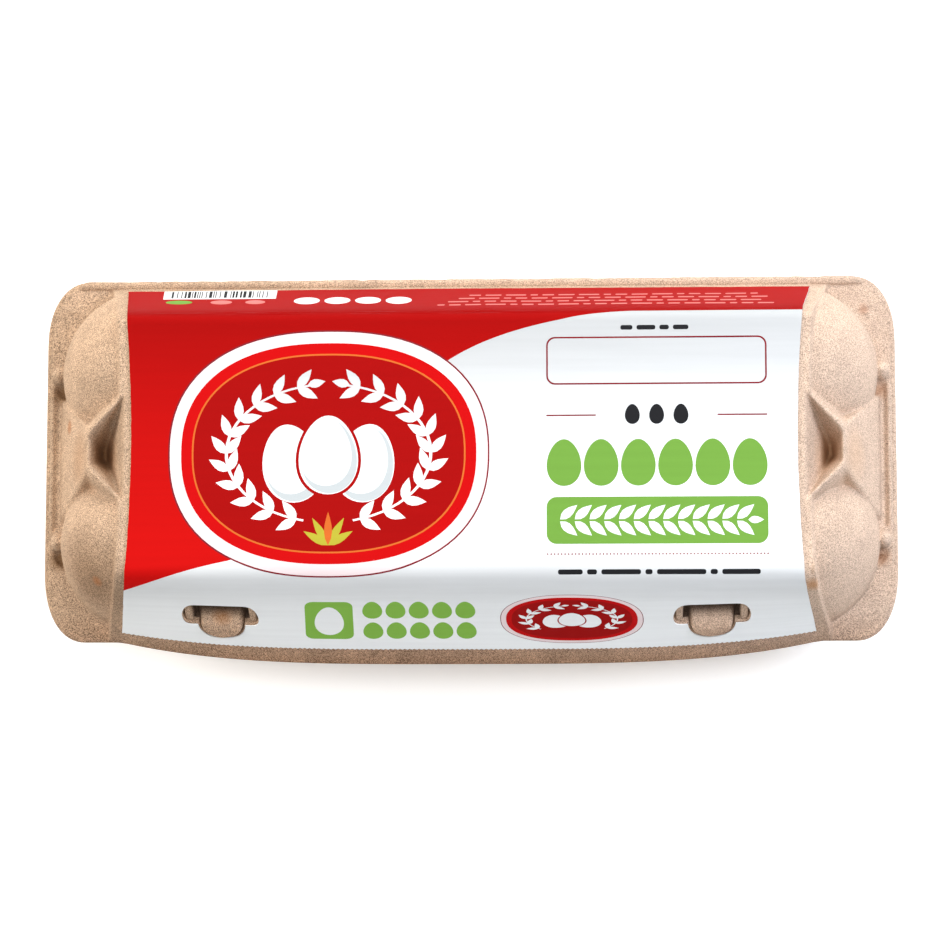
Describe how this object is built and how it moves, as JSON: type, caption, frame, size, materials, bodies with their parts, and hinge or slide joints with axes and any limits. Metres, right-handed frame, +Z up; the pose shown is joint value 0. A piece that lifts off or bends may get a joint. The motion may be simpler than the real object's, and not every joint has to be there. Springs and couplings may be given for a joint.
{
  "type": "egg carton",
  "caption": "Shut moulded-pulp egg carton with a domed lid, a wrap-over paper label and knob locks, lying lid up.",
  "frame": {"origin": "centre of the bounding box's underside, on the floor under the carton", "axes": "+X along the carton's length, +Y towards the hinge, +Z up; the two locks face -Y"},
  "size_m": [0.2632, 0.1196, 0.0707],
  "materials": {
    "pulp": "matt recycled pulp",
    "label_paper": "printed coated paper"
  },
  "bodies": {
    "root": {"lid": "pulp", "tray": "pulp", "label": "label_paper"}
  },
  "joints": []
}
